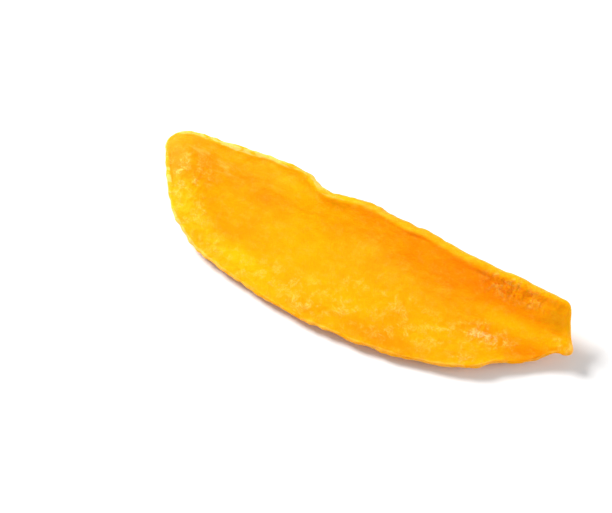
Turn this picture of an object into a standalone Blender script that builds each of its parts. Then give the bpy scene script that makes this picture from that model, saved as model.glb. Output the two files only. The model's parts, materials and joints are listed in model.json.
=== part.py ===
"""A dried mango slice: one leathery slab of fruit that curled as it dried.

The slab lies on its belly. +X runs along it from the broad end to the narrow
end, +Y points to the far edge, which has curled up into a lip, and +Z is up.
The origin is the centre of its footprint on the surface that it lies on.
Every size below is in millimetres.
"""

import math

import bmesh
import bpy
from mathutils import Vector, noise

MM = 0.001

# The cut edge half way through the slab, as (x, y, z). Both long edges run from
# the broad end to the narrow end.
NEAR_EDGE = [
    (-47.8, -7.0, 1.6),
    (-44.8, -8.7, 1.4),
    (-38.9, -12.4, 1.1),
    (-29.9, -15.0, 0.9),
    (-20.4, -17.1, 0.9),
    (-9.4, -19.1, 1.0),
    (1.6, -19.9, 1.2),
    (12.6, -19.8, 1.2),
    (23.6, -18.7, 1.3),
    (33.6, -16.4, 1.5),
    (41.1, -13.9, 1.8),
    (46.1, -10.0, 2.0),
    (50.2, -7.9, 1.3),
    (53.6, -5.4, 1.1),
    (56.4, -3.0, 1.3),
    (58.8, -1.6, 1.9),
    (60.4, -1.3, 2.3),
    (61.9, -0.8, 2.6),
]
FAR_EDGE = [
    (-60.4, 16.3, 4.8),
    (-57.2, 17.3, 5.8),
    (-51.9, 17.9, 6.7),
    (-44.4, 18.3, 7.2),
    (-34.4, 19.0, 7.7),
    (-27.4, 18.6, 7.9),
    (-23.4, 18.4, 7.8),
    (-20.8, 18.2, 7.5),
    (-18.8, 17.0, 7.0),
    (-16.0, 15.6, 6.6),
    (-13.0, 15.2, 6.4),
    (-10.0, 15.8, 6.6),
    (-7.0, 16.2, 6.9),
    (-3.5, 16.2, 7.4),
    (0.0, 15.9, 8.1),
    (4.6, 14.5, 9.0),
    (10.6, 13.1, 10.2),
    (17.6, 12.5, 11.1),
    (30.6, 9.6, 12.0),
    (42.6, 9.0, 12.2),
    (51.6, 8.5, 11.7),
    (57.3, 8.1, 10.6),
]

# The line that the slab bends about between those edges. Where it runs low and
# close under the far edge, that edge stands up as a lip.
BEND_LINE = [
    (-55.0, 4.0, 3.0),
    (-47.0, 4.5, 1.9),
    (-38.0, 5.0, 0.7),
    (-28.0, 6.5, -0.5),
    (-19.0, 9.0, -1.3),
    (-10.0, 10.6, -1.7),
    (0.0, 10.2, -1.9),
    (12.0, 7.5, -1.8),
    (25.0, 4.5, -1.0),
    (38.0, 3.0, -0.2),
    (50.0, 2.8, 1.4),
    (59.3, 3.0, 3.0),
]
BEND_SHARPNESS = [(0.0, 1.0), (0.35, 1.1), (0.5, 1.6), (0.65, 1.5), (0.8, 1.3), (1.0, 1.3)]

# How far each end bows out past the straight line between its corners, at even
# steps from the near corner to the far one.
BROAD_END_BOW = [0.0, 0.9, 1.8, 2.4, 0.0]
NARROW_END_BOW = [0.3, 1.1, 1.1, 0.7, 0.2]
BOW_REACH = 0.2

# Broad folds of the slab, as (x, y) of the middle, half length, half width,
# turn in degrees, and height.
FOLDS = [
    (49.5, -0.1, 15.0, 2.8, -7.0, 1.9),
    (55.5, 6.4, 7.0, 2.2, -4.0, 1.2),
    (-21.5, 13.5, 9.0, 3.6, -8.0, 1.6),
    (-50.0, 5.0, 13.0, 6.0, -58.0, 1.8),
    (-35.0, -7.5, 15.0, 4.0, -20.0, 1.1),
    (3.0, -10.5, 12.0, 4.0, 0.0, 0.7),
    (15.0, -14.5, 8.0, 3.0, 0.0, -0.5),
    (33.0, -4.5, 7.0, 2.5, -10.0, -0.5),
]

# Thickness at mid slab and at each edge, and how far in it takes to fill out.
# The far edge's is given as (share of its length, thickness).
BODY_THICKNESS = 3.4
NEAR_THICKNESS = 1.3
FAR_THICKNESS = [
    (0.0, 1.5),
    (0.33, 1.8),
    (0.42, 2.7),
    (0.5, 2.4),
    (0.8, 2.8),
    (0.92, 2.4),
    (1.0, 2.0),
]
BROAD_END_THICKNESS = 1.6
NARROW_END_THICKNESS = 1.4
FILL_OUT = 9.0
EDGE_ROUNDNESS = 0.34

# The knife met the fruit at a slant, so the cut leans in under the near edge
# and under the narrow end. How far, and how deep under the slab it fades out.
NEAR_UNDERCUT = 0.8
NARROW_UNDERCUT = 0.9
UNDERCUT_REACH = 3.5

# The rim dries first and stands up as a fine bead along the cut.
BEAD_HEIGHT = 0.45
BEAD_WIDTH = 1.3

# Shrinkage: slow waves of the whole slab, and wrinkles in each face.
WAVE_HEIGHT = 0.35
WAVE_LENGTH = 17.0
WRINKLE_HEIGHT = 0.20
WRINKLE_LENGTH = 7.0
WRINKLE_WIDTH = 3.2
RIM_WAVER = 0.45
RIM_WAVER_LENGTH = 6.0

# How far the soft belly is pressed flat where it rests.
PRESSED_FLAT = 0.4

CELLS_ALONG = 100
CELLS_ACROSS = 20
CROWD_ALONG = 0.35
CROWD_ACROSS = 0.45
RIM_STEPS = 4
SECTION_STEPS = 60

FLESH_COLOUR = (0.98, 0.45, 0.01, 1.0)
FLESH_ROUGHNESS = 0.42


def catmull_rom(knots, t):
    """The smooth curve through the knots, numbers or vectors, for t from 0 to 1."""
    place = min(max(t, 0.0), 1.0) * (len(knots) - 1)
    i = min(int(place), len(knots) - 2)
    f = place - i
    b, c = knots[i], knots[i + 1]
    a = knots[i - 1] if i > 0 else 2 * b - c
    d = knots[i + 2] if i + 2 < len(knots) else 2 * c - b
    bend = (2 * a - 5 * b + 4 * c - d) * f * f
    twist = (3 * b - a - 3 * c + d) * f * f * f
    return 0.5 * (2 * b + (c - a) * f + bend + twist)


def even_points(curve, count, crowd, steps):
    """count + 1 points of a curve, by arc length, crowded towards its ends."""
    fine = [curve(i / steps) for i in range(steps + 1)]
    run = [0.0]
    for a, b in zip(fine, fine[1:]):
        run.append(run[-1] + (b - a).length)
    points = []
    j = 0
    for i in range(count + 1):
        t = i / count
        t -= crowd * math.sin(2 * math.pi * t) / (2 * math.pi)
        goal = t * run[-1]
        while j < steps - 1 and run[j + 1] < goal:
            j += 1
        share = (goal - run[j]) / (run[j + 1] - run[j])
        points.append(fine[j].lerp(fine[j + 1], share))
    return points


def along(table, u):
    """A value read from (share, value) pairs, eased between them."""
    for (u0, v0), (u1, v1) in zip(table, table[1:]):
        if u <= u1:
            t = max(0.0, (u - u0) / (u1 - u0))
            return v0 + (v1 - v0) * t * t * (3 - 2 * t)
    return table[-1][1]


def section(near, bend, far, sharpness):
    """The conic across the slab from the near edge to the far one, pulled to the bend."""

    def curve(t):
        a, b, c = (1 - t) ** 2, 2 * sharpness * t * (1 - t), t * t
        return (a * near + b * bend + c * far) / (a + b + c)

    return curve


def fold_height(point):
    """The sum of the broad folds at a place on the slab."""
    total = 0.0
    for x0, y0, half_length, half_width, turn, height in FOLDS:
        x, y = point.x - x0, point.y - y0
        c, s = math.cos(math.radians(turn)), math.sin(math.radians(turn))
        a, b = (x * c + y * s) / half_length, (y * c - x * s) / half_width
        total += height * math.exp(-a * a - b * b)
    return total


def long_line(knots):
    """Points along the slab on the smooth curve through the knots."""
    vectors = [Vector(k) for k in knots]
    return even_points(lambda t: catmull_rom(vectors, t), CELLS_ALONG, CROWD_ALONG, 400)


def end_bow(u, v):
    """How far along x the bow of the ends moves a point at shares u along, v across."""
    at_broad = max(0.0, 1 - u / BOW_REACH) ** 2
    at_narrow = max(0.0, 1 - (1 - u) / BOW_REACH) ** 2
    return at_narrow * catmull_rom(NARROW_END_BOW, v) - at_broad * catmull_rom(BROAD_END_BOW, v)


def middle_sheet():
    """The grid of points half way through the slab, rows from near to far."""
    columns = []
    lines = zip(long_line(NEAR_EDGE), long_line(BEND_LINE), long_line(FAR_EDGE))
    for i, (near, bend, far) in enumerate(lines):
        u = i / CELLS_ALONG
        curve = section(near, bend, far, along(BEND_SHARPNESS, u))
        points = even_points(curve, CELLS_ACROSS, CROWD_ACROSS, SECTION_STEPS)
        column = []
        for j, point in enumerate(points):
            lift = fold_height(point) + WAVE_HEIGHT * noise.noise(point / WAVE_LENGTH)
            column.append(point + Vector((end_bow(u, j / CELLS_ACROSS), 0.0, lift)))
        columns.append(column)
    return columns


def sheet_normals(sheet):
    """The upward normal at each point of the grid."""
    normals = []
    last_i, last_j = len(sheet) - 1, len(sheet[0]) - 1
    for i in range(last_i + 1):
        row = []
        for j in range(last_j + 1):
            down = sheet[min(i + 1, last_i)][j] - sheet[max(i - 1, 0)][j]
            over = sheet[i][min(j + 1, last_j)] - sheet[i][max(j - 1, 0)]
            row.append(down.cross(over).normalized())
        normals.append(row)
    return normals


def filled(distance, edge):
    """Thickness at a distance from an edge of the given thickness."""
    t = min(1.0, distance / FILL_OUT)
    return edge + (BODY_THICKNESS - edge) * (1 - (1 - t) ** 2)


def edge_distances(sheet, i, j):
    """Distances in the sheet from a grid point to the near, far, broad and narrow edges."""
    column = sheet[i]
    near = sum((column[k + 1] - column[k]).length for k in range(j))
    far = sum((column[k + 1] - column[k]).length for k in range(j, len(column) - 1))
    broad = sum((sheet[k + 1][j] - sheet[k][j]).length for k in range(i))
    narrow = sum((sheet[k + 1][j] - sheet[k][j]).length for k in range(i, len(sheet) - 1))
    return near, far, broad, narrow


def wrinkles(point, seed):
    """Drying wrinkles of one face: long soft ridges that run along the slab."""
    place = Vector((point.x / WRINKLE_LENGTH, point.y / WRINKLE_WIDTH, seed))
    place += 0.5 * noise.noise_vector(place * 0.6)
    return WRINKLE_HEIGHT * (noise.noise(place) + 0.5 * noise.noise(place * 2.1))


def undercut(sheet, i, j, near, narrow):
    """How far the slanted cut moves a point of the lower face in under the slab."""
    column = sheet[i]
    k = min(j, len(column) - 2)
    m = max(i, 1)
    across = (column[k + 1] - column[k]).normalized()
    back = (sheet[m - 1][j] - sheet[m][j]).normalized()
    at_near = NEAR_UNDERCUT * math.exp(-((near / UNDERCUT_REACH) ** 2))
    at_narrow = NARROW_UNDERCUT * math.exp(-((narrow / UNDERCUT_REACH) ** 2))
    return across * at_near + back * at_narrow


def faces_of_slab(sheet):
    """Offsets the sheet both ways and returns the upper and the lower face's points."""
    normals = sheet_normals(sheet)
    upper, lower = [], []
    for i, column in enumerate(sheet):
        upper.append([])
        lower.append([])
        for j, point in enumerate(column):
            near, far, broad, narrow = edge_distances(sheet, i, j)
            thick = min(
                filled(near, NEAR_THICKNESS),
                filled(far, along(FAR_THICKNESS, i / CELLS_ALONG)),
                filled(broad, BROAD_END_THICKNESS),
                filled(narrow, NARROW_END_THICKNESS),
            )
            rim = min(near, far, broad, narrow)
            bead = BEAD_HEIGHT * math.exp(-((rim / BEAD_WIDTH) ** 2))
            inner = 1 - math.exp(-((rim / BEAD_WIDTH) ** 2))
            normal = normals[i][j]
            upper[i].append(point + normal * (thick / 2 + bead + inner * wrinkles(point, 3.0)))
            below = point - normal * (thick / 2 + inner * wrinkles(point, 11.0))
            lower[i].append(below + undercut(sheet, i, j, near, narrow))
    return upper, lower


def rim_path():
    """Grid places round the cut edge, counter-clockwise from above."""
    last_i, last_j = CELLS_ALONG, CELLS_ACROSS
    path = [(i, 0) for i in range(last_i)]
    path += [(last_i, j) for j in range(last_j)]
    path += [(i, last_j) for i in range(last_i, 0, -1)]
    path += [(0, j) for j in range(last_j, 0, -1)]
    return path


def rounded_rim(upper, lower):
    """Points of the rounded cut face, one list for each place of the rim's path."""
    path = rim_path()
    rings = []
    for n, (i, j) in enumerate(path):
        before, after = path[n - 1], path[(n + 1) % len(path)]
        top, bottom = upper[i][j], lower[i][j]
        tangent = upper[after[0]][after[1]] - upper[before[0]][before[1]]
        across = top - bottom
        outward = tangent.cross(across).normalized()
        middle = (top + bottom) / 2
        waver = RIM_WAVER * noise.noise(middle / RIM_WAVER_LENGTH + Vector((0.0, 0.0, 5.0)))
        reach = EDGE_ROUNDNESS * across.length + waver
        ring = []
        for k in range(1, RIM_STEPS):
            angle = math.pi * k / RIM_STEPS
            bulge = reach * math.sin(angle) ** 0.7
            ring.append(middle + across / 2 * math.cos(angle) + outward * bulge)
        rings.append(ring)
    return path, rings


def settle(upper, lower, rings):
    """Centres the slab, sets its belly on the ground and presses it flat there."""
    points = [p for face in (upper, lower, rings) for line in face for p in line]
    low_x, high_x = min(p.x for p in points), max(p.x for p in points)
    low_y, high_y = min(p.y for p in points), max(p.y for p in points)
    low_z = min(p.z for p in points)
    middle = Vector(((low_x + high_x) / 2, (low_y + high_y) / 2, low_z + PRESSED_FLAT))
    for p in points:
        p -= middle
        p.z = max(p.z, 0.0)


def slab_mesh():
    """The closed mesh: both faces on one grid, joined by the rounded rim."""
    upper, lower = faces_of_slab(middle_sheet())
    path, rings = rounded_rim(upper, lower)
    settle(upper, lower, rings)
    bm = bmesh.new()
    top = [[bm.verts.new(p * MM) for p in line] for line in upper]
    under = [[bm.verts.new(p * MM) for p in line] for line in lower]
    rim = [[bm.verts.new(p * MM) for p in ring] for ring in rings]
    for i in range(CELLS_ALONG):
        for j in range(CELLS_ACROSS):
            a, b, c, d = (i, j), (i + 1, j), (i + 1, j + 1), (i, j + 1)
            for p, q, r in ((a, b, c), (a, c, d)):
                bm.faces.new([top[x][y] for x, y in (p, q, r)])
                bm.faces.new([under[x][y] for x, y in (r, q, p)])
    for n, (i, j) in enumerate(path):
        k = (n + 1) % len(path)
        here = [top[i][j], *rim[n], under[i][j]]
        there = [top[path[k][0]][path[k][1]], *rim[k], under[path[k][0]][path[k][1]]]
        for m in range(len(here) - 1):
            bm.faces.new([here[m], here[m + 1], there[m + 1]])
            bm.faces.new([here[m], there[m + 1], there[m]])
    mesh = bpy.data.meshes.new("mango_slice")
    bm.to_mesh(mesh)
    bm.free()
    return mesh


def flesh_material():
    material = bpy.data.materials.new("dried_mango_flesh")
    material.use_nodes = True
    shader = material.node_tree.nodes["Principled BSDF"]
    shader.inputs["Base Color"].default_value = FLESH_COLOUR
    shader.inputs["Roughness"].default_value = FLESH_ROUGHNESS
    shader.inputs["Metallic"].default_value = 0.0
    return material


def clear_scene():
    for old in list(bpy.data.objects):
        bpy.data.objects.remove(old)


def main():
    clear_scene()
    mesh = slab_mesh()
    mesh.materials.append(flesh_material())
    mesh.shade_smooth()
    piece = bpy.data.objects.new("mango_slice", mesh)
    bpy.context.scene.collection.objects.link(piece)


if __name__ == "__main__":
    main()
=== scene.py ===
# %% [markdown]
# # Dressing a slice of dried mango
#
# A cheek of mango is cut into slices and dried slowly. The flesh shrinks into
# a leathery slab that lets some light through, the cut edge dries first into a
# pale, knobbly bead, and the long edges curl. Where sugar comes to the surface
# it leaves fine, curly, cream-coloured flecks.
#
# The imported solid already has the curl, the folds and the thickness. This
# lesson keeps that shape, sculpts the finer relief into a denser copy of it,
# and gives the flesh its colour, depth and waxy shine.

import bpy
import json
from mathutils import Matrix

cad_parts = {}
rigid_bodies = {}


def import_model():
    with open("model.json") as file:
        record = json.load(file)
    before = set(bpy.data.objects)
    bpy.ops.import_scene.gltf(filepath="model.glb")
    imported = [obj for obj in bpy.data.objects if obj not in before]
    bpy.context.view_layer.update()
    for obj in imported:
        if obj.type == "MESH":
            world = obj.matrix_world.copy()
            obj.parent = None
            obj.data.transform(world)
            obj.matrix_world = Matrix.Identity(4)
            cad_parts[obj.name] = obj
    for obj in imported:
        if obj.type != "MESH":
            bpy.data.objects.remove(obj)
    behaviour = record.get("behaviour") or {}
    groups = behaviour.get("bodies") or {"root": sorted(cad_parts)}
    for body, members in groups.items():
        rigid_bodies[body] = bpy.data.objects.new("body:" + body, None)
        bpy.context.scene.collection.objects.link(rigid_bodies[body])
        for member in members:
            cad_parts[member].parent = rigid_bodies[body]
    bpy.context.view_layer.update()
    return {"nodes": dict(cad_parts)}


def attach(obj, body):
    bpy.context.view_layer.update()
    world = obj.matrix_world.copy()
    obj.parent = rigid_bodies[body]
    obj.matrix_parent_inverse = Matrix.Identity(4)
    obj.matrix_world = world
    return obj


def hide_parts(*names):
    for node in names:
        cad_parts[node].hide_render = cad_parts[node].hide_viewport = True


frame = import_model()

# %% Other modules
import json
import math

import bmesh
import bpy
import numpy as np
from mathutils import Matrix, Vector, kdtree, noise
from mathutils.bvhtree import BVHTree

MM = 0.001
scene = bpy.context.scene
print("Blender", bpy.app.version_string)

# %% [markdown]
# ## The camera
#
# The slice is seen from above and a little from its near side, as food on a
# table is. A long lens from half a metre away keeps the two ends at nearly the
# same scale. The camera's own axes are built first, because the lamps are
# placed with them later.

# %% The camera's axes
AZIMUTH = math.radians(25.5)
ELEVATION = math.radians(58.0)

level = math.cos(ELEVATION)
back = Vector((math.sin(AZIMUTH) * level, -math.cos(AZIMUTH) * level, math.sin(ELEVATION)))
right = Vector((math.cos(AZIMUTH), math.sin(AZIMUTH), 0.0))
up = back.cross(right)
print("from the slice to the camera:", tuple(round(v, 2) for v in back))

# %% Camera
CAMERA_DISTANCE = 0.455
AIM = Vector((-12.66, -0.77, 1.39)) * MM
FOCAL_LENGTH_MM = 100.0
SENSOR_WIDTH_MM = 36.0
NEAREST_SEEN = 0.01


def facing(place, towards_back, towards_right):
    """A matrix at a place, whose z axis is towards_back and whose x axis is towards_right."""
    side_up = towards_back.cross(towards_right)
    turn = Matrix((towards_right, side_up, towards_back)).transposed()
    return Matrix.Translation(place) @ turn.to_4x4()


lens = bpy.data.cameras.new("camera")
lens.lens = FOCAL_LENGTH_MM
lens.sensor_width = SENSOR_WIDTH_MM
lens.clip_start = NEAREST_SEEN
camera = bpy.data.objects.new("camera", lens)
scene.collection.objects.link(camera)
camera.matrix_world = facing(AIM + back * CAMERA_DISTANCE, back, right)
scene.camera = camera
print("camera at", tuple(round(v, 3) for v in camera.matrix_world.translation))

# %% [markdown]
# ## A denser copy of the slab
#
# The solid has faces of 1 to 2 mm, and a dried skin has wrinkles finer than
# that. Its triangles are joined back into the four-sided cells that they were
# split from, because subdivision rounds such cells evenly, and then each cell
# is split in four, twice.

# %% Join triangles into cells
WELD_DISTANCE = 0.001 * MM
ANY_ANGLE = math.pi


def joined_into_cells(source, name):
    """A new mesh object from a mesh, with its triangles paired into four-sided cells."""
    bm = bmesh.new()
    bm.from_mesh(source)
    bmesh.ops.remove_doubles(bm, verts=bm.verts, dist=WELD_DISTANCE)
    bmesh.ops.join_triangles(
        bm, faces=bm.faces, angle_face_threshold=ANY_ANGLE, angle_shape_threshold=ANY_ANGLE)
    places = [v.co.copy() for v in bm.verts]
    cells = [[v.index for v in f.verts] for f in bm.faces]
    bm.free()
    mesh = bpy.data.meshes.new(name)
    mesh.from_pydata(places, [], cells)
    piece = bpy.data.objects.new(name, mesh)
    scene.collection.objects.link(piece)
    print(name, "has", len(cells), "cells, of them four-sided", sum(len(c) == 4 for c in cells))
    return piece


NODE = "mango_slice"
flesh = joined_into_cells(frame["nodes"][NODE].data, "flesh")

# %% Subdivide
LEVELS = 2


def subdivided(piece, levels):
    """Bakes a smooth subdivision into the piece's mesh."""
    rounding = piece.modifiers.new("rounding", "SUBSURF")
    rounding.levels = rounding.render_levels = levels
    graph = bpy.context.evaluated_depsgraph_get()
    fine = bpy.data.meshes.new_from_object(piece.evaluated_get(graph))
    piece.modifiers.clear()
    piece.data = fine
    print(piece.name, "has", len(fine.vertices), "points after subdivision")


subdivided(flesh, LEVELS)

# %% Read the mesh, in millimetres
def points_of(mesh):
    flat = np.empty(len(mesh.vertices) * 3)
    mesh.vertices.foreach_get("co", flat)
    return flat.reshape(-1, 3) / MM


def normals_of(mesh):
    flat = np.empty(len(mesh.vertices) * 3)
    mesh.vertex_normals.foreach_get("vector", flat)
    return flat.reshape(-1, 3)


points = points_of(flesh.data)
normals = normals_of(flesh.data)
x, y = points[:, 0], points[:, 1]
print("the copy runs from x", round(float(x.min()), 1), "to", round(float(x.max()), 1), "mm")

# %% [markdown]
# ## Finding the cut edge
#
# The cut edge looks different from the two faces, so the sculpting and the
# colours need to know where it is. A line is sent straight into the slab from
# each point. Through the faces it comes out again after 3 or 4 mm, but from
# the cut edge it runs far across the slab. Each point then gets its distance
# to the nearest point of the cut.

# %% Measure the slab
CUT_RUN = 5.5
START_BELOW = 0.02
NO_EXIT = 99.0


def depth_below(mesh, points, normals):
    """How far the slab goes on below each point, in mm."""
    tree = BVHTree.FromPolygons([Vector(p) for p in points], [tuple(f.vertices) for f in mesh.polygons])
    depths = np.full(len(points), NO_EXIT)
    for i, (p, n) in enumerate(zip(points, normals)):
        _place, _normal, _face, distance = tree.ray_cast(Vector(p - START_BELOW * n), Vector(-n))
        if distance is not None:
            depths[i] = distance
    return depths


def distance_to(points, chosen):
    """The distance from each point to the nearest chosen one, in mm."""
    tree = kdtree.KDTree(int(chosen.sum()))
    for i in np.flatnonzero(chosen):
        tree.insert(Vector(points[i]), int(i))
    tree.balance()
    return np.array([tree.find(Vector(p))[2] for p in points])


depths = depth_below(flesh.data, points, normals)
on_cut = depths > CUT_RUN
from_cut = distance_to(points, on_cut)
print("points on the cut edge:", int(on_cut.sum()))
print("thickness of the body:", round(float(np.median(depths)), 2), "mm")

# %% [markdown]
# ## Spreading a value over the surface
#
# Masks with hard borders look painted on. Passing each value on to its
# neighbours a few times softens them along the skin itself, so that nothing
# leaks through from the face below.

# %% Neighbours
KEPT = 0.5

edges = np.empty(len(flesh.data.edges) * 2, dtype=np.int64)
flesh.data.edges.foreach_get("vertices", edges)
edge_a, edge_b = edges.reshape(-1, 2).T
neighbour_count = np.bincount(edge_a, minlength=len(points)) + np.bincount(edge_b, minlength=len(points))


def spread(values, times):
    """The values after each point has shared with its neighbours a number of times."""
    columns = values.reshape(len(values), -1).copy()
    for _ in range(times):
        for k in range(columns.shape[1]):
            column = columns[:, k]
            total = np.bincount(edge_a, weights=column[edge_b], minlength=len(column))
            total += np.bincount(edge_b, weights=column[edge_a], minlength=len(column))
            columns[:, k] = KEPT * column + (1 - KEPT) * total / neighbour_count
    return columns.reshape(values.shape)


print("neighbours of a point, on average:", round(float(neighbour_count.mean()), 2))

# %% [markdown]
# ## Steps, lumps and ovals
#
# Everything that changes over the skin is made from a few shapes: a soft step
# from one value to another, noise of a given grain, the sharp creases hidden
# in that noise, and soft ovals laid on one by one as seen from above.

# %% Soft steps and noise
SEED_STEP = 17.3
CREASE_SHARPNESS = 2.2


def rise(values, low, high):
    """0 below low, 1 above high, and a soft step between."""
    t = np.clip((values - low) / (high - low), 0.0, 1.0)
    return t * t * (3 - 2 * t)


def bell(values, width):
    """1 where a value is 0, falling off softly on both sides."""
    return np.exp(-((values / width) ** 2))


def rough(points, lumps, seed):
    """Noise from about -1 to 1 at each point. lumps are its lengths along x, y and z, in mm."""
    places = points / np.array(lumps) + seed * SEED_STEP
    return np.array([noise.noise(Vector(p)) for p in places])


def creases(points, lumps, seed):
    """Noise whose sharp lines reach 1 and whose hollows sink to 0."""
    return np.clip(1 - CREASE_SHARPNESS * np.abs(rough(points, lumps, seed)), 0.0, 1.0)


# %% Soft ovals
OVAL_STEEPNESS = 1.3


def oval(x0, y0, half_length, half_width, turn):
    """1 in the middle of an oval and 0 outside it, seen from above. turn is in degrees."""
    c, s = math.cos(math.radians(turn)), math.sin(math.radians(turn))
    along = ((x - x0) * c + (y - y0) * s) / half_length
    across = ((y - y0) * c - (x - x0) * s) / half_width
    return np.exp(-(along * along + across * across) ** OVAL_STEEPNESS)


def strongest(table):
    """The strongest of the ovals at each point. Each row ends with its oval's strength."""
    return np.max([strength * oval(*shape) for *shape, strength in table], axis=0)


def summed(table):
    """The sum of the ovals at each point. Each row ends with its oval's strength."""
    return np.sum([strength * oval(*shape) for *shape, strength in table], axis=0)


# %% Which way the skin faces
SIDE_ON = 0.1

upward = rise(normals[:, 2], -SIDE_ON, SIDE_ON)
print("share of the skin that faces up:", round(float(upward.mean()), 2))

# %% [markdown]
# ## Where the sugar shows
#
# The flecks, which are partly sugar and partly painted glints, lie in patches:
# thick near the broad end, along the near edge and under the lip, thin in the
# smooth middle. The underside has loose patches of its own.

# %% Sugar patches
# x, y, half length, half width, turn in degrees, strength
SUGAR_PATCHES = [
    (-52.0, 4.0, 8.0, 8.0, 0.0, 0.9),
    (-45.0, -4.0, 8.0, 5.0, -35.0, 0.7),
    (-30.0, -12.0, 13.0, 4.0, -15.0, 0.55),
    (-16.0, -12.0, 12.0, 5.0, -8.0, 0.55),
    (-6.0, -15.5, 6.0, 3.0, 0.0, 0.8),
    (3.1, -3.4, 6.0, 3.5, 0.0, 0.5),
    (2.0, -12.0, 12.0, 6.0, 0.0, 0.6),
    (16.6, -4.8, 8.0, 4.0, -10.0, 0.65),
    (18.0, -12.0, 14.0, 6.0, 0.0, 0.5),
    (30.0, -8.0, 10.0, 5.0, 0.0, 0.6),
    (40.0, -4.8, 8.0, 3.2, 0.0, 1.2),
    (39.0, -13.0, 5.0, 1.8, 0.0, 1.15),
    (43.0, 6.6, 9.0, 2.0, -3.0, 0.9),
    (59.8, 0.2, 3.0, 2.6, 0.0, 0.8),
]
SUGAR_ELSEWHERE = 0.12
SUGAR_BELOW = 0.6
LUMPS_BELOW = (14, 9, 9)
BORDER_BELOW = (0.0, 0.4)
MUCH_SUGAR = 0.4

sugar = np.maximum(strongest(SUGAR_PATCHES), SUGAR_ELSEWHERE) * upward
sugar += SUGAR_BELOW * (1 - upward) * rise(rough(points, LUMPS_BELOW, seed=5), *BORDER_BELOW)
print("share of the skin with much sugar:", round(float((sugar > MUCH_SUGAR).mean()), 2))

# %% [markdown]
# ## Sculpting the two faces
#
# Dried flesh is never smooth. Long shallow fibres run with the slice, fine
# curly wrinkles lie where the sugar is, and slow dimples cover the rest. Each
# is worked out as a height in millimetres along the surface normal. A bump in
# the material could only fake them, and moving the points gives them real
# shadows. The noise under the fibres and wrinkles is read at bent places, so
# that neither runs straight.

# %% Fibres, curls and dimples
WARP_LUMPS = (9, 9, 9)
FIBRE_LUMPS = (9.0, 1.7, 4.0)
FIBRE_PATCHES = (16, 8, 8)
FIBRE_PATCH_BORDER = (-0.2, 0.3)
FIBRE_BEND = 2.5
FAINTEST_FIBRES = 0.35
CURL_LUMPS = (2.1, 1.7, 2.1)
CURL_BEND = 1.2
DIMPLE_LUMPS = (7.0, 5.0, 5.0)

warp = np.stack([rough(points, WARP_LUMPS, seed) for seed in (1, 2, 3)], axis=1)
fibres = creases(points + FIBRE_BEND * warp, FIBRE_LUMPS, seed=4)
fibre_patches = rise(rough(points, FIBRE_PATCHES, seed=6), *FIBRE_PATCH_BORDER)
fibre_share = FAINTEST_FIBRES + (1 - FAINTEST_FIBRES) * fibre_patches
curls = creases(points + CURL_BEND * warp, CURL_LUMPS, seed=7)
dimples = rough(points, DIMPLE_LUMPS, seed=8)
print("mean of the fibres", round(float(fibres.mean()), 2), "and of the curls", round(float(curls.mean()), 2))

# %% Relief of the two faces
FIBRE_HEIGHT = 0.16
CURL_HEIGHT = 0.24
DIMPLE_HEIGHT = 0.12
FACE_BORDER = (1.2, 3.5)
# taken from the creases, so that their lines rise and the hollows between them sink
CREASE_MIDDLE = 0.4

on_face = rise(from_cut, *FACE_BORDER)
height = on_face * FIBRE_HEIGHT * fibre_share * (fibres - CREASE_MIDDLE)
height += on_face * CURL_HEIGHT * sugar * (curls - CREASE_MIDDLE)
height += on_face * DIMPLE_HEIGHT * dimples
print("relief of the faces from", round(float(height.min()), 2), "to", round(float(height.max()), 2), "mm")

# %% [markdown]
# ## Sculpting the cut edge
#
# The cut edge dried first and is knobbly, least so where the lip stands high.
# On the far side a fine groove runs behind it, which lies lower on the lip
# towards the narrow end and fades before it. On the near side the edge shrank
# to a thin line. All of it follows the distance to the cut that was measured
# above, so it runs round every bend without being placed by hand.

# %% Knobs
KNOB_HEIGHT = 0.34
SMALL_KNOBS = (2.0, 2.0, 2.0)
LARGE_KNOBS = (4.5, 4.5, 4.5)
LARGE_KNOB_SHARE = 0.8
KNOBS_LOST_ON_LIP = 0.6
LIP_RISES_X = (12.0, 26.0)
FAR_SIDE_Y = (-2.0, 3.0)
BROAD_CORNER_X = (-63.0, -57.0)
CUT_BORDER = (0.3, 1.8)

far_side = rise(y, *FAR_SIDE_Y) * rise(x, *BROAD_CORNER_X)
by_cut = 1 - rise(from_cut, *CUT_BORDER)
knobs = rough(points, SMALL_KNOBS, seed=9) + LARGE_KNOB_SHARE * rough(points, LARGE_KNOBS, seed=10)
knobs *= 1 - KNOBS_LOST_ON_LIP * far_side * rise(x, *LIP_RISES_X)
height += KNOB_HEIGHT * by_cut * knobs
print("highest knob:", round(float((KNOB_HEIGHT * by_cut * knobs).max()), 2), "mm")

# %% Groove and thin near edge
GROOVE_DEPTH = 0.18
GROOVE_WIDTH = 0.5
GROOVE_BEHIND_CUT = 1.9
GROOVE_SINKS = 0.9
GROOVE_SINKS_X = (22.0, 38.0)
GROOVE_ENDS_X = (46.0, 54.0)
GROOVE_BREAKS = (7, 7, 7)
GROOVE_BREAK_BORDER = (-0.1, 0.3)
NEAR_EDGE_LOST = 0.20
NEAR_EDGE_WIDTH = 1.8

groove_place = GROOVE_BEHIND_CUT + GROOVE_SINKS * rise(x, *GROOVE_SINKS_X)
groove = bell(from_cut - groove_place, GROOVE_WIDTH) * far_side * (1 - rise(x, *GROOVE_ENDS_X))
groove *= rise(rough(points, GROOVE_BREAKS, seed=11), *GROOVE_BREAK_BORDER)
near_edge = bell(from_cut, NEAR_EDGE_WIDTH) * (1 - far_side)
height -= GROOVE_DEPTH * groove * upward
height -= NEAR_EDGE_LOST * near_edge * upward
print("deepest point of the groove:", round(float(groove.max()) * GROOVE_DEPTH, 2), "mm")

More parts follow.
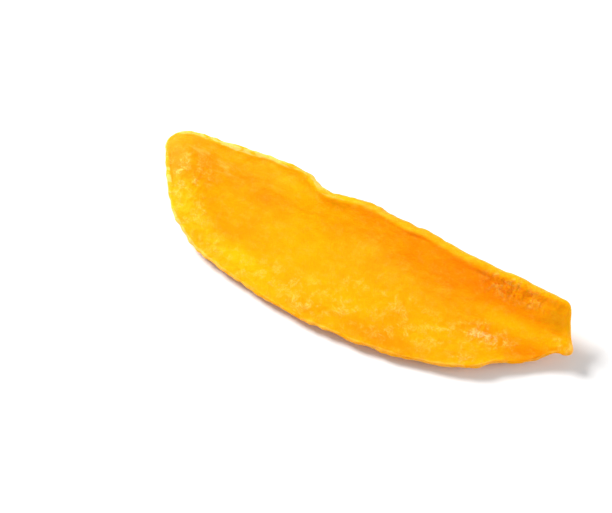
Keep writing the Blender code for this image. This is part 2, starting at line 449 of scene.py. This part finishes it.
# %% [markdown]
# ## Sculpting the narrow end
#
# Towards the narrow end the lip stands up highest, and the skin below it is
# gathered into short crosswise crimps. The near corner of the end swells into
# a small round pad. Each has one place on the slice, so one oval lays it there,
# where noise alone would scatter it.

# %% Relief of the narrow end
# x, y, half length, half width, turn in degrees
CRIMPED_OVAL = (43.5, 7.0, 11.0, 2.4, -3.0)
PAD_OVAL = (60.0, 0.2, 2.6, 2.3, 0.0)
CRIMP_HEIGHT = 0.2
CRIMP_LUMPS = (1.3, 3.0, 3.0)
CRIMP_BEND = 0.8
MUCH_CRIMPED = 0.4
PAD_HEIGHT = 0.7

crimped = oval(*CRIMPED_OVAL) * upward
crimps = creases(points + CRIMP_BEND * warp, CRIMP_LUMPS, seed=12)
height += CRIMP_HEIGHT * crimped * (crimps - CREASE_MIDDLE)
height += PAD_HEIGHT * oval(*PAD_OVAL) * upward
print("share of the skin that is crimped:", round(float((crimped > MUCH_CRIMPED).mean()), 3))

# %% [markdown]
# ## Moving the points
#
# The heights are softened once, so that no single point stands up as a spike,
# and nothing is pushed below the surface that the slice lies on.

# %% Move the points
height = spread(height, 1)
sculpted = points + normals * height[:, None]
sculpted[:, 2] = np.maximum(sculpted[:, 2], 0.0)
flesh.data.vertices.foreach_set("co", (sculpted * MM).ravel())
flesh.data.shade_smooth()
flesh.data.update()
print("relief from", round(float(height.min()), 2), "to", round(float(height.max()), 2), "mm")

# %% [markdown]
# ## What the colour needs to know
#
# The colours follow masks, which are numbers stored on the points of the mesh,
# where a shader can read them by name. The first is painted shade and light:
# the gold is drawn deeper in hollows, where light reaches the flesh from few
# sides, and paler on ridges. Hollows and ridges are found by comparing each
# point with the average place of the skin round it.

# %% Hollows, for painted shade and light
HOLLOW_REACH = 60
HOLLOW_SOFTENING = 8
HOLLOW_RANGE = 0.6
LEVEL_SKIN = 0.5


def store(name, values):
    """Stores a value for each point under a name that a shader can read."""
    layer = flesh.data.attributes.new(name, "FLOAT", "POINT")
    layer.data.foreach_set("value", values.astype(np.float32))
    print("mask", name, "mean", round(float(values.mean()), 3))


round_about = spread(points, HOLLOW_REACH)
hollow = spread(((round_about - points) * normals).sum(axis=1), HOLLOW_SOFTENING)
# painted shade in the hollows, and painted light on the ridges
store("hollow", np.clip(LEVEL_SKIN + hollow / HOLLOW_RANGE, 0.0, 1.0))

# %% [markdown]
# ## Paler and deeper stretches, and painted light and shade
#
# Some stretches of the fruit were riper, thicker or drier than others, so the
# gold drifts over the slice. Ovals that add to the tone or take from it lay
# those stretches where this slice has them. Many of the ovals are painted
# light and shade as well: deeper bands on the lip's inner wall, which turns
# away from the lamp, a paler ridge and a darker strip by the near edge towards
# the narrow end, and a paler narrow end.

# %% Tone
# x, y, half length, half width, turn in degrees, paler above 0 and deeper below
TONE_LIGHT_AND_SHADE_PATCHES = [
    (-53.0, 10.0, 9.0, 7.0, -10.0, -0.35),
    (-50.0, -3.0, 9.0, 7.0, -35.0, 0.22),
    (-34.0, 11.0, 13.0, 5.0, -5.0, -0.22),
    (-34.0, -6.0, 4.5, 3.0, -30.0, -0.25),
    (-29.0, -1.0, 8.0, 3.5, 0.0, -0.12),
    (-26.0, -12.2, 11.0, 4.2, -15.0, 0.42),
    (-12.0, 0.0, 10.0, 8.0, 0.0, 0.18),
    (-17.0, 10.5, 7.0, 4.8, -8.0, 0.28),
    (-8.0, 13.5, 4.0, 2.5, 0.0, 0.35),
    (3.0, 11.5, 10.0, 4.0, -20.0, -0.18),
    (3.0, 16.0, 15.0, 1.8, -12.0, -0.35),
    (26.0, 5.5, 12.0, 6.0, -12.0, -0.2),
    (17.0, -9.0, 6.0, 4.0, 0.0, -0.18),
    (17.0, -16.5, 11.5, 4.0, 0.0, -0.3),
    (37.0, 5.0, 14.0, 3.0, -6.0, -0.2),
    (40.0, -5.0, 8.0, 3.0, 0.0, -0.15),
    (46.0, -1.0, 8.0, 2.0, -4.0, 0.17),
    (52.0, -5.0, 6.0, 1.8, 20.0, -0.3),
    (57.0, 4.0, 6.0, 4.5, 0.0, 0.27),
    (60.0, -0.5, 3.0, 2.5, 0.0, -0.25),
]

# the ovals are partly the flesh's own tone and partly painted light and shade
store("tone", summed(TONE_LIGHT_AND_SHADE_PATCHES) * upward)

# %% Streaks, crimps and sugar
# x, y, half length, half width, turn in degrees, strength
STREAKED_PATCHES = [(-46.5, 12.0, 8.0, 3.0, -12.0, 1.0), (-34.0, 12.0, 8.0, 3.0, 0.0, 0.2)]

store("streak", strongest(STREAKED_PATCHES) * upward)
store("crimp", crimped)
store("sugar", sugar)

# %% [markdown]
# ## The pale rim
#
# The cut edge dries to a pale line. Its paleness is partly the dry edge's own
# colour and partly painted light, where the thin edge glows in the lamp's
# light. It is widest and palest on the far side by the broad end, fades towards
# the narrow end, and is only a thin line along the near side. At the narrow
# end a pale line is painted as light on the end's edge. Its width wanders,
# because an even line looks like piping.
# What is stored is each point's distance from the rim's border, and how pale
# the rim is there. The shader draws the border where that distance is 0, which
# comes out crisper than a mask that is already 0 or 1 at each point.

# %% How wide the rim is
# x, and the width of the rim there on the far side
FAR_RIM_WIDTH = [(-62, 1.3), (-52, 1.5), (-40, 1.5), (-15, 1.3), (0, 1.1), (63, 1.1)]
NEAR_RIM_WIDTH = 0.8
RIM_WANDER = 0.35
WANDER_LUMPS = (3.0, 3.0, 3.0)


def along_x(table):
    """The values of a table of x and value, read at each point."""
    return np.interp(x, *np.array(table).T)


rim_width = NEAR_RIM_WIDTH + (along_x(FAR_RIM_WIDTH) - NEAR_RIM_WIDTH) * far_side
from_rim = from_cut + RIM_WANDER * rough(points, WANDER_LUMPS, seed=13)
store("rim_distance", from_rim - rim_width)

# %% How pale the rim is, partly painted light
# x, and the paleness of the rim there on the far side
FAR_PALENESS = [
    (-62, 0.8), (-44, 1.0), (-38, 0.8), (-18, 0.65), (-8, 0.45), (5, 0.25), (30, 0.2), (45, 0.05), (63, 0)]
NEAR_PALENESS = 0.45
BROAD_END_PALENESS = 0.75
BROAD_END_X = (-45.0, -22.0)
# painted light: the narrow end's edge is drawn paler, standing in for light that its face does not get
NARROW_END_PAINTED_LIGHT = 0.6
NARROW_END_X = (58.5, 61.0)
# in the bend of the far edge the cut itself is hardly paler than the faces
BEND_STARTS_X = (-15.0, -12.0)
BEND_ENDS_X = (-4.0, 0.0)
BEND_BORDER = (0.1, 0.7)
BEND_FADE = 0.85

bend = rise(x, *BEND_STARTS_X) * (1 - rise(x, *BEND_ENDS_X)) * (1 - rise(from_cut, *BEND_BORDER))
far_paleness = along_x(FAR_PALENESS) * far_side * (1 - BEND_FADE * bend)
broad_end = 1 - rise(x, *BROAD_END_X)
near_paleness = NEAR_PALENESS + (BROAD_END_PALENESS - NEAR_PALENESS) * broad_end
narrow_painted_light = NARROW_END_PAINTED_LIGHT * rise(x, *NARROW_END_X)
# partly the cut's own colour and partly painted light: the rim is drawn paler where the lamp catches the thin
# edge
paleness = np.maximum(np.maximum(far_paleness, near_paleness * (1 - far_side)), narrow_painted_light)
store("paleness", spread(paleness, 1))

# %% [markdown]
# ## Writing shader sums as Python
#
# A material is a graph of nodes, and a sum such as 1 - mask needs a node of
# its own. Wire wraps a socket, and its operators add those nodes, so that a
# recipe reads like ordinary arithmetic. Every other node comes from
# Recipe.node, which takes its type, its settings and its sockets.

# %% Wires
class Wire:
    """A shader value that can be used in sums."""

    def __init__(self, recipe, socket):
        self.recipe = recipe
        self.socket = socket

    def maths(self, operation, a, b=0.0):
        return self.recipe.node("ShaderNodeMath", {"operation": operation}, {0: a, 1: b})

    def __add__(self, other):
        return self.maths("ADD", self, other)

    def __radd__(self, other):
        return self.maths("ADD", other, self)

    def __sub__(self, other):
        return self.maths("SUBTRACT", self, other)

    def __rsub__(self, other):
        return self.maths("SUBTRACT", other, self)

    def __mul__(self, other):
        return self.maths("MULTIPLY", self, other)

    def __rmul__(self, other):
        return self.maths("MULTIPLY", other, self)

    def __abs__(self):
        return self.maths("ABSOLUTE", self)

    def at_least(self, other):
        return self.maths("MAXIMUM", self, other)


# %% Recipes
class Recipe:
    """A material and the one way of adding nodes to it."""

    def __init__(self, name):
        self.material = bpy.data.materials.new(name)
        self.material.use_nodes = True
        self.tree = self.material.node_tree
        self.shader = self.tree.nodes["Principled BSDF"]

    def feed(self, socket, value):
        """Links a wire to a socket, or sets the socket to a plain value."""
        if isinstance(value, Wire):
            self.tree.links.new(value.socket, socket)
        else:
            socket.default_value = value

    def node(self, kind, settings, sockets, output=0):
        """Adds a node of a type, sets it up, feeds its sockets, and gives the wire that comes out."""
        made = self.tree.nodes.new(kind)
        for name, value in settings.items():
            if name == "stops":
                self.place_stops(made.color_ramp.elements, value)
            else:
                setattr(made, name, value)
        for name, value in sockets.items():
            self.feed(made.inputs[name], value)
        return Wire(self, made.outputs[output])

    def place_stops(self, stops, wanted):
        """Gives a ramp the stops that are wanted, each a place from 0 to 1 and a colour."""
        while len(stops) < len(wanted):
            stops.new(0.5)
        for stop, (place, colour) in zip(stops, wanted):
            stop.position = place
            stop.color = colour

    def shine(self, **values):
        """Feeds the shader's own sockets."""
        for name, value in values.items():
            self.feed(self.shader.inputs[name.replace("_", " ")], value)


# %% Everyday nodes
NOISE_ROUGHNESS = 0.55
NOISE_MIDDLE = 0.5
# a Mix node's sockets for numbers and vectors come before those for colours
MIX_SHARE = 0
MIX_COLOUR_A = 6
MIX_COLOUR_B = 7
MIX_COLOUR_OUT = 2


class SkinRecipe(Recipe):
    """A recipe with short names for the nodes that a skin uses again and again."""

    def mask(self, name):
        return self.node("ShaderNodeAttribute", {"attribute_name": name}, {}, output="Fac")

    def step(self, value, low, high):
        sockets = {"Value": value, "From Min": low, "From Max": high}
        return self.node("ShaderNodeMapRange", {"interpolation_type": "SMOOTHSTEP"}, sockets)

    def line(self, value, width):
        """A thin line where the value passes one half."""
        return 1 - self.step(abs(value - NOISE_MIDDLE), low=0.0, high=width)

    def mixed(self, share, a, b):
        sockets = {MIX_SHARE: share, MIX_COLOUR_A: a, MIX_COLOUR_B: b}
        return self.node("ShaderNodeMix", {"data_type": "RGBA"}, sockets, output=MIX_COLOUR_OUT)

    def place(self, stretch):
        """Where a point is on the object, with each axis multiplied by a number."""
        own = self.node("ShaderNodeTexCoord", {}, {}, output="Object")
        return self.node("ShaderNodeVectorMath", {"operation": "MULTIPLY"}, {0: own, 1: stretch})

    def noise(self, place, scale, detail, distortion=0.0):
        sockets = {"Vector": place, "Scale": scale, "Detail": detail, "Distortion": distortion}
        return self.node("ShaderNodeTexNoise", {}, sockets | {"Roughness": NOISE_ROUGHNESS})


# %% [markdown]
# ## Three ways of reading a place
#
# Noise has a grain of its own. Read in millimetres it gives round spots. Where
# x is shrunk first, the spots are drawn out along the slice, as fibres are.

# %% Places
MM_PER_METRE = 1 / MM
SHRUNK_X = 0.5
FAR_SHRUNK_X = 0.2

skin = SkinRecipe("dried_mango_flesh")
in_mm = skin.place((MM_PER_METRE, MM_PER_METRE, MM_PER_METRE))
stretched = skin.place((SHRUNK_X * MM_PER_METRE, MM_PER_METRE, MM_PER_METRE))
far_stretched = skin.place((FAR_SHRUNK_X * MM_PER_METRE, MM_PER_METRE, MM_PER_METRE))
print("nodes so far:", len(skin.tree.nodes))

# %% [markdown]
# ## The golden ground
#
# The flesh is a golden orange that drifts a little over the slice. A ramp of
# three golds turns one tone value into colour, which keeps the hue right at
# both ends: plain darkening would turn the yellow olive. The deep end of the
# ramp also carries painted shade, in the hollows and on the lip's inner wall,
# and the bright end carries painted light on the ridges.

# %% Golden ground
# the deep gold also paints shade, and the bright gold also paints light
DEEP_GOLD_AND_SHADE = (0.99, 0.22, 0.001, 1.0)
GOLD = (0.97, 0.335, 0.001, 1.0)
BRIGHT_GOLD_AND_LIGHT = (0.99, 0.46, 0.002, 1.0)
MIDDLE_TONE = 0.5
DRIFT = 0.5
MOTTLE = 0.35
HOLLOW_SHADE_STRENGTH = 0.4

drift = skin.noise(in_mm, scale=0.11, detail=3.0)
mottle = skin.noise(stretched, scale=0.7, detail=4.0, distortion=0.5)
tone = MIDDLE_TONE + skin.mask("tone") + DRIFT * (drift - NOISE_MIDDLE) + MOTTLE * (mottle - NOISE_MIDDLE)
# painted shade: deeper gold in the hollows; painted light: paler gold on the ridges
tone = tone - HOLLOW_SHADE_STRENGTH * (skin.mask("hollow") - LEVEL_SKIN)
golds = [(0.0, DEEP_GOLD_AND_SHADE), (MIDDLE_TONE, GOLD), (1.0, BRIGHT_GOLD_AND_LIGHT)]
ground = skin.node("ShaderNodeValToRGB", {"stops": golds}, {0: tone})
print("golds:", len(golds))

# %% [markdown]
# ## Sugar flecks, painted glints and streaks
#
# Sugar dries in short dabs, curly lines and hair-thin threads. The flecks are
# partly that sugar and partly painted glints, the small highlights that the
# waxy wrinkles catch from the lamp. The lines are the places where a noise
# passes one half, and another noise breaks them up, because an unbroken net
# looks like cracked paint. Where the sugar lies thickest, the dabs spread and
# run together, and the cream is less yellow. By the broad end it is drawn out
# into streaks along the fibres.

# %% Shapes of the sugar
THICK_SUGAR = 0.9
THICKEST_SUGAR = 1.1
DAB_SPREAD = 0.25
CURL_SHARE = 0.8
THREAD_SHARE = 0.5

thickest = DAB_SPREAD * (skin.mask("sugar") - THICK_SUGAR).at_least(0.0)
dabs = skin.noise(in_mm, scale=0.6, detail=2.5, distortion=1.4)
dab = skin.step(dabs + thickest, low=0.54, high=0.68)
curl = skin.line(skin.noise(in_mm, scale=0.36, detail=2.0, distortion=1.4), width=0.045)
thread = skin.line(skin.noise(in_mm, scale=0.75, detail=1.0, distortion=0.8), width=0.05)
breaks = skin.noise(in_mm, scale=0.42, detail=4.0, distortion=0.4)
broken = skin.step(breaks + thickest, low=0.45, high=0.62) * skin.mask("sugar")
fleck = dab.at_least((CURL_SHARE * curl).at_least(THREAD_SHARE * thread)) * broken
drawn_out = skin.noise(far_stretched, scale=0.6, detail=4.0, distortion=0.9)
streak = skin.step(drawn_out, low=0.5, high=0.72) * skin.mask("streak")
print("nodes so far:", len(skin.tree.nodes))

# %% Colour of the sugar and of the painted glints
SUGAR_AND_GLINT_CREAM = (0.99, 0.65, 0.12, 1.0)
THICK_SUGAR_AND_GLINT_CREAM = (0.98, 0.50, 0.14, 1.0)
FLECK_AND_GLINT_COVER = 0.75
STREAK_COVER = 0.38
DUST_COVER = 0.12

cream_and_glint = skin.mixed(skin.step(skin.mask("sugar"), THICK_SUGAR, THICKEST_SUGAR), SUGAR_AND_GLINT_CREAM, THICK_SUGAR_AND_GLINT_CREAM)
# the flecks are sugar and painted glints, the streaks and the faint veil are sugar
cover = FLECK_AND_GLINT_COVER * fleck + STREAK_COVER * streak + DUST_COVER * broken
sugared = skin.mixed(cover, ground, cream_and_glint)
print("nodes so far:", len(skin.tree.nodes))

# %% [markdown]
# ## Crimps and rim
#
# Between the crimps under the lip, dark amber lines are painted shade in the
# creases. The cut edge is a clearer yellow than the faces, partly painted glow,
# with long cream dabs where it dried hardest.
# Each colour is mixed over the ones before it, as glazes are laid, so that one
# can be changed and the others stay.

# %% Crimps, with painted shade between them
CRIMP_SHADE_AMBER = (0.88, 0.15, 0.002, 1.0)
CRIMP_SHADE_COVER = 0.6

# painted shade: dark amber lines in the creases between the crimps
crimp_shade_line = skin.line(skin.noise(in_mm, scale=0.8, detail=3.0, distortion=1.0), width=0.08)
gathered = skin.mixed(CRIMP_SHADE_COVER * crimp_shade_line * skin.mask("crimp"), sugared, CRIMP_SHADE_AMBER)
print("nodes so far:", len(skin.tree.nodes))

# %% Rim
RIM_YELLOW_AND_GLOW = (0.97, 0.45, 0.01, 1.0)
RIM_CREAM = (0.99, 0.60, 0.15, 1.0)
RIM_INNER = -0.3
RIM_OUTER = 0.12
RIM_COVER = 0.78
RIM_DAB_COVER = 0.85

paleness_mask = skin.mask("paleness")
cut = (1 - skin.step(skin.mask("rim_distance"), RIM_INNER, RIM_OUTER)) * paleness_mask
rim_dabs = skin.noise(stretched, scale=0.5, detail=3.0, distortion=0.6)
rim_dab = skin.step(rim_dabs, low=0.40, high=0.56) * skin.step(paleness_mask, low=0.1, high=0.7)
# the rim's yellow is partly the dry edge's colour and partly painted glow
edged = skin.mixed(RIM_COVER * cut, gathered, RIM_YELLOW_AND_GLOW)
flesh_colour = skin.mixed(RIM_DAB_COVER * cut * rim_dab, edged, RIM_CREAM)
print("nodes so far:", len(skin.tree.nodes))

# %% [markdown]
# ## Depth and shine
#
# Light goes into dried mango, scatters and comes out again a millimetre or two
# away, which makes thin edges glow. Principled's subsurface does that. Red
# travels furthest and blue hardly at all, because the flesh is full of orange
# pigment. The shine is waxy and uneven: a little smoother on the flecks,
# duller on the dry rim, and broken by a fine grain.

# %% Grain and roughness
GRAIN_DEPTH = 0.3 * MM
GRAIN_STRENGTH = 0.55
GRAIN_SHARE = 0.6
PORE_SHARE = 0.4
FLECK_SHARE = 0.8
WAXY = 0.34
DULLER_GRAIN = 0.25
DULLER_RIM = 0.1
SMOOTHER_FLECKS = 0.12

grain = skin.noise(in_mm, scale=1.6, detail=5.0, distortion=0.3)
pores = skin.noise(stretched, scale=2.4, detail=3.0, distortion=1.0)
fine_relief = GRAIN_SHARE * grain + PORE_SHARE * pores + FLECK_SHARE * fleck
bump_sockets = {"Strength": GRAIN_STRENGTH, "Distance": GRAIN_DEPTH, "Height": fine_relief}
bump = skin.node("ShaderNodeBump", {}, bump_sockets)
roughness = WAXY + DULLER_GRAIN * grain + DULLER_RIM * cut - SMOOTHER_FLECKS * fleck
print("nodes so far:", len(skin.tree.nodes))

# %% Shine
SHINE_TINT = (1.0, 0.6, 0.03, 1.0)
LIGHT_REACH = (1.0, 0.25, 0.03)
REACH_SCALE = 2.0 * MM

skin.shine(Base_Color=flesh_colour, Normal=bump, Roughness=roughness)
skin.shine(IOR=1.42, Specular_IOR_Level=0.25, Specular_Tint=SHINE_TINT)
skin.shine(Subsurface_Weight=0.35, Subsurface_Radius=LIGHT_REACH, Subsurface_Scale=REACH_SCALE)
flesh.data.materials.clear()
flesh.data.materials.append(skin.material)
print("nodes in the flesh:", len(skin.tree.nodes))

# %% [markdown]
# ## Handing the slice over
#
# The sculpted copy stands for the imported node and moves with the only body.
# The node itself is hidden and not changed, because collisions still use it.

# %% Replace the node
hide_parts(NODE)
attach(flesh, "root")
print(flesh.name, "replaces", NODE)

# %% [markdown]
# ## Floor and light
#
# A near-white floor and a large soft lamp high behind the left of the slice
# show the curl: the lip's inner wall turns away from the lamp and goes deep
# orange, and the wrinkles catch small glints. A weak lamp from the right keeps
# the narrow end's edge from going dull, and a pale world fills the shadows.

# %% Floor
FLOOR_SIZE = 3.0
PAPER_WHITE = (0.86, 0.86, 0.86, 1.0)
PAPER_ROUGHNESS = 0.9

half = FLOOR_SIZE / 2
corners = [(-half, -half, 0.0), (half, -half, 0.0), (half, half, 0.0), (-half, half, 0.0)]
floor_mesh = bpy.data.meshes.new("floor")
floor_mesh.from_pydata(corners, [], [(0, 1, 2, 3)])
floor = bpy.data.objects.new("floor", floor_mesh)
scene.collection.objects.link(floor)
paper = Recipe("floor_paper")
paper.shine(Base_Color=PAPER_WHITE, Roughness=PAPER_ROUGHNESS)
floor_mesh.materials.append(paper.material)
print("floor of", FLOOR_SIZE, "m")

# %% Lamps
LAMP_DISTANCE = 0.9
LAMP_SIZE = 0.35
KEY_POWER = 11.4
KEY_DIRECTION = -0.60 * right + 0.75 * up + 0.35 * back
FILL_POWER = 3.0
FILL_DIRECTION = 0.90 * right + 0.05 * up + 0.40 * back


def soft_lamp(name, towards, power):
    """A square lamp that shines on the slice from a direction."""
    lamp = bpy.data.lights.new(name, "AREA")
    lamp.shape = "SQUARE"
    lamp.size = LAMP_SIZE
    lamp.energy = power
    holder = bpy.data.objects.new(name, lamp)
    scene.collection.objects.link(holder)
    direction = towards.normalized()
    side = direction.cross(Vector((0.0, 0.0, 1.0))).normalized()
    holder.matrix_world = facing(AIM + direction * LAMP_DISTANCE, direction, side)
    return holder


key_lamp = soft_lamp("key_lamp", KEY_DIRECTION, KEY_POWER)
fill_lamp = soft_lamp("fill_lamp", FILL_DIRECTION, FILL_POWER)
for lamp in (key_lamp, fill_lamp):
    print(lamp.name, "at", tuple(round(v, 2) for v in lamp.matrix_world.translation))

# %% World
WORLD_WHITE = (1.0, 1.0, 1.0, 1.0)
WORLD_STRENGTH = 0.5

world = bpy.data.worlds.new("studio")
world.use_nodes = True
sky = world.node_tree.nodes["Background"]
sky.inputs["Color"].default_value = WORLD_WHITE
sky.inputs["Strength"].default_value = WORLD_STRENGTH
scene.world = world
scene.view_settings.view_transform = "Standard"
scene.view_settings.look = "None"
print("world strength", WORLD_STRENGTH)
